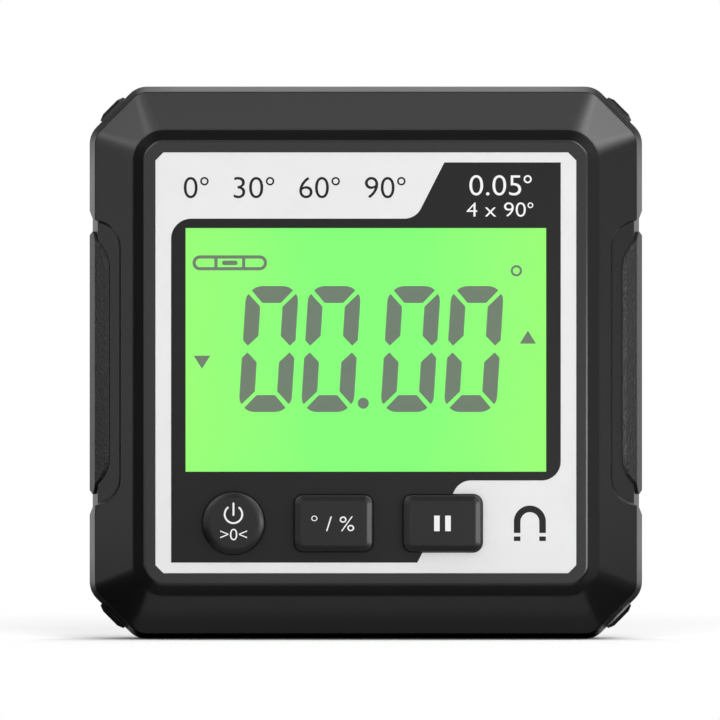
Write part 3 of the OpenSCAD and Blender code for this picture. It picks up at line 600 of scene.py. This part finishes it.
def flat_sheet(name, corners, material):
    """A rectangle of the studio, through four corners."""
    mesh = bpy.data.meshes.new(name)
    mesh.from_pydata([Vector(c) for c in corners], [], [(0, 1, 2, 3)])
    mesh.materials.append(material)
    sheet = placed(name, mesh)
    return sheet


def seen_directly(tree):
    """1 for rays from the camera and for those that a gloss or a clear piece sends on, else 0."""
    path = add(tree, "LightPath")
    seen = path.outputs["Is Camera Ray"]
    for kind in ("Is Glossy Ray", "Is Transmission Ray"):
        seen = reckon(tree, "MAXIMUM", seen, path.outputs[kind])
    return seen


# The floor takes shadows round the object and behind it, and fades to the white around it.
FLOOR_HALF = 1.4
FLOOR_WHITE = (0.93, 0.93, 0.93, 1)
# Beside the object the fade starts at the core, and its reach widens to the front and the back.
FADE_CORE, FADE_BESIDE, FADE_WAIST_Y, FADE_WIDENING = 0.025, 0.009, 0.01, 0.16
FADE_MIDDLE_X, FADE_MIDDLE_Y, FADE_BEHIND = -0.0015, 0.06, 0.27
FADE_START, FADE_END = 0.1, 1.0


def floor_material():
    """A white floor: a lit matt surface near the object, plain white further away."""
    material, tree, shader, place = new_material("white_floor")
    link = tree.links.new
    shader.inputs["Base Color"].default_value = FLOOR_WHITE
    shader.inputs["Roughness"].default_value = 0.9
    shader.inputs["Specular IOR Level"].default_value = 0.0
    white = add(tree, "Emission", {"Color": (1, 1, 1, 1), "Strength": 1.0})
    axes = add(tree, "SeparateXYZ")
    link(place, axes.inputs["Vector"])
    reach = reckon(tree, "ABSOLUTE", reckon(tree, "SUBTRACT", axes.outputs["Y"], FADE_WAIST_Y))
    reach = reckon(tree, "MULTIPLY_ADD", reach, FADE_WIDENING, FADE_BESIDE)
    beside = reckon(tree, "SUBTRACT", axes.outputs["X"], FADE_MIDDLE_X)
    beside = reckon(tree, "SUBTRACT", reckon(tree, "ABSOLUTE", beside), FADE_CORE)
    beside = reckon(tree, "DIVIDE", reckon(tree, "MAXIMUM", beside, 0.0), reach)
    behind = reckon(tree, "DIVIDE", reckon(tree, "SUBTRACT", axes.outputs["Y"], FADE_MIDDLE_Y),
                    FADE_BEHIND)
    away = reckon(tree, "SQRT", reckon(tree, "ADD", reckon(tree, "MULTIPLY", beside, beside),
                                       reckon(tree, "MULTIPLY", behind, behind)))
    fade = add(tree, "MapRange", {"From Min": FADE_START, "From Max": FADE_END},
               interpolation_type="SMOOTHSTEP")
    link(away, fade.inputs["Value"])
    mixed = add(tree, "MixShader")
    link(reckon(tree, "MULTIPLY", fade.outputs["Result"], seen_directly(tree)),
         mixed.inputs["Fac"])
    link(shader.outputs["BSDF"], mixed.inputs[1])
    link(white.outputs["Emission"], mixed.inputs[2])
    link(mixed.outputs["Shader"], tree.nodes["Material Output"].inputs["Surface"])
    return material


flat_sheet("floor", [(-FLOOR_HALF, -FLOOR_HALF, 0), (FLOOR_HALF, -FLOOR_HALF, 0),
                     (FLOOR_HALF, FLOOR_HALF, 0), (-FLOOR_HALF, FLOOR_HALF, 0)], floor_material())


def softbox(name, direction, distance, size, level, reflected=True):
    """A square lamp aimed at the object. A white surface that faces a level of 1 renders white."""
    data = bpy.data.lights.new(name, "AREA")
    data.size = size
    data.energy = level * (math.pi * distance) ** 2
    lamp = placed(name, data)
    away = Vector(direction).normalized()
    lamp.location = Vector((0, 0, FACE_Z)) + away * distance
    lamp.rotation_euler = away.to_track_quat("Z", "Y").to_euler()
    lamp.visible_camera = False
    lamp.visible_glossy = reflected


softbox("key", direction=(0.75, -0.1, 0.75), distance=0.9, size=0.8, level=0.45)
softbox("left", direction=(-0.75, -0.2, 0.75), distance=0.8, size=0.5, level=0.25)
softbox("overhead", direction=(0, -0.1, 1.0), distance=0.9, size=1.2, level=0.35)
softbox("front", direction=(0.35, -1.0, 0.3), distance=1.0, size=0.5, level=0.275,
        reflected=False)


# A card whose level changes does so from the middle of the scene to this far right.
CARD_REACH = 0.12


def card_material(name, level, right_level=None):
    """A plain card, clear from behind. Its level may change to the right."""
    material, tree, _, place = new_material(name)
    light = add(tree, "Emission", {"Strength": level})
    if right_level is not None:
        axes = add(tree, "SeparateXYZ")
        tree.links.new(place, axes.inputs["Vector"])
        across = add(tree, "MapRange", {"From Max": CARD_REACH, "To Min": level,
                                        "To Max": right_level})
        tree.links.new(axes.outputs["X"], across.inputs["Value"])
        tree.links.new(across.outputs["Result"], light.inputs["Strength"])
    mixed = add(tree, "MixShader")
    tree.links.new(add(tree, "NewGeometry").outputs["Backfacing"], mixed.inputs["Fac"])
    tree.links.new(light.outputs["Emission"], mixed.inputs[1])
    tree.links.new(add(tree, "BsdfTransparent").outputs["BSDF"], mixed.inputs[2])
    tree.links.new(mixed.outputs["Shader"], tree.nodes["Material Output"].inputs["Surface"])
    return material


def reflected_only(card):
    """Lets a card show in glossy surfaces, where it draws their edges, and nowhere else."""
    card.visible_camera = False
    card.visible_diffuse = False
    card.visible_transmission = False
    card.visible_volume_scatter = False
    card.visible_shadow = False


# Round cards behind the object: a dark ring for the mouldings' edges, a grey disc for the sides.
SURROUND_Y = 0.05


def ring_card(name, inner, outer, material, steps=48):
    """A round card behind the object that faces it, with a hole in its middle."""
    turns = [2 * math.pi * i / steps for i in range(steps)]
    points = [(r * math.cos(a), SURROUND_Y, FACE_Z + r * math.sin(a))
              for r in (inner, outer) for a in turns]
    quads = [(i, steps + i, steps + (i + 1) % steps, (i + 1) % steps) for i in range(steps)]
    mesh = bpy.data.meshes.new(name)
    mesh.from_pydata(points, [], quads)
    mesh.materials.append(material)
    ring = placed(name, mesh)
    reflected_only(ring)


ring_card("dark_surround", inner=0.1, outer=1.2,
          material=card_material("surround_card", level=0.0, right_level=0.15))
ring_card("grey_surround", inner=0.001, outer=0.065,
          material=card_material("grey_card", level=0.6))

# Dark strips further in behind the cut corners, each along a diagonal of the face.
STRIP_Y, STRIP_NEAR, STRIP_FAR, STRIP_HALF = 0.049, 0.043, 0.3, 0.013
STRIP_LEVEL = 0.1
for name, turn in (("corner_upper_right", 45), ("corner_upper_left", 135),
                   ("corner_lower_left", 225), ("corner_lower_right", 315)):
    along = Vector((math.cos(math.radians(turn)), 0, math.sin(math.radians(turn))))
    across = Vector((-along.z, 0, along.x))
    corners = [Vector((0, STRIP_Y, FACE_Z)) + along * u + across * v
               for u, v in rectangle(STRIP_NEAR, -STRIP_HALF, STRIP_FAR, STRIP_HALF)]
    reflected_only(flat_sheet(name, corners, card_material(name, STRIP_LEVEL)))

# Cards on the floor darken the lower bevels and corners: name, two corners and level. Two of them
# change their level to the right.
FLOOR_CARD_Z = 0.0001
for name, x0, y0, x1, y1, levels in (
        ("floor_left", -0.12, -0.1, -0.027, 0.1, (0.02, 0.15)),
        ("floor_right", 0.027, -0.1, 0.12, 0.1, (0.02, 0.15)),
        ("floor_front", -0.027, -0.03, 0.027, -0.0115, (0.38,)),
        ("floor_near", -0.027, -0.0115, 0.027, -0.0093, (0.22,)),
        ("floor_under", -0.027, -0.0093, 0.027, -0.002, (0.0,))):
    corners = [(x, y, FLOOR_CARD_Z) for x, y in rectangle(x0, y0, x1, y1)]
    reflected_only(flat_sheet(name, corners, card_material(name, *levels)))

# Upright cards at the foot of the step round the rim darken the step, and nothing behind them:
# name, two corners from the middle of the face, and level.
STEP_FOOT_Y, STEP_FOOT, STEP_LOWEST = -0.0134, 0.0252, -0.0299
for name, x0, z0, x1, z1, level in (
        ("step_top", -0.06, STEP_FOOT, 0.06, 0.15, 0.0),
        ("step_low", -STEP_FOOT, STEP_LOWEST, STEP_FOOT, -STEP_FOOT, 0.05),
        ("step_left", -0.15, STEP_LOWEST, -STEP_FOOT, 0.06, 0.03),
        ("step_right", STEP_FOOT, STEP_LOWEST, 0.15, 0.06, 0.2)):
    corners = [(x, STEP_FOOT_Y, FACE_Z + z) for x, z in rectangle(x0, z0, x1, z1)]
    reflected_only(flat_sheet(name, corners, card_material(name, level)))


def aimed_card(name, direction, distance, size, level):
    """A square card that lightens or darkens what faces halfway between it and the camera."""
    away = Vector(direction).normalized()
    turn = away.to_track_quat("Z", "Y")
    middle = Vector((0, 0, FACE_Z)) + away * distance
    half = size / 2
    corners = [middle + turn @ Vector((x, y, 0))
               for x, y in ((-half, -half), (-half, half), (half, half), (half, -half))]
    reflected_only(flat_sheet(name, corners, card_material(name, level)))


aimed_card("bright_corner", direction=(0.7, 0.0, 0.7), distance=0.5, size=0.3, level=5.5)
aimed_card("bright_right", direction=(0.7, -0.7, -0.17), distance=0.087, size=0.036, level=8.5)
aimed_card("dark_right", direction=(0.99, -0.14, 0.0), distance=0.5, size=0.26, level=0.3)
aimed_card("dark_top", direction=(0.0, -0.58, 0.81), distance=0.5, size=0.35, level=0.25)

# The world looks white, and lights matt surfaces by less.
AMBIENT, BACKDROP = 0.35, 1.0
world = bpy.data.worlds.new("studio")
bpy.context.scene.world = world
world.use_nodes = True
sky = world.node_tree
level = add(sky, "MapRange", {"To Min": AMBIENT, "To Max": BACKDROP})
sky.links.new(seen_directly(sky), level.inputs["Value"])
sky.nodes["Background"].inputs["Color"].default_value = (1, 1, 1, 1)
sky.links.new(level.outputs["Result"], sky.nodes["Background"].inputs["Strength"])

# A long lens straight in front. The object stands a little right of the middle of a square picture.
PICTURE_WIDTH = 78.03 * MM
CAMERA_AWAY = 3.0
CAMERA_X, CAMERA_RISE = -0.635 * MM, 0.3 * MM
SHARP_Y = -0.010
camera_data = bpy.data.cameras.new("camera")
camera_data.sensor_width = 36
camera_data.lens = camera_data.sensor_width * CAMERA_AWAY / PICTURE_WIDTH
camera = placed("camera", camera_data)
camera.location = (CAMERA_X, SHARP_Y - CAMERA_AWAY, FACE_Z + CAMERA_RISE)
camera.rotation_euler = (math.radians(90), 0, 0)
bpy.context.scene.camera = camera
bpy.context.scene.view_settings.view_transform = "Standard"

bpy.context.view_layer.update()
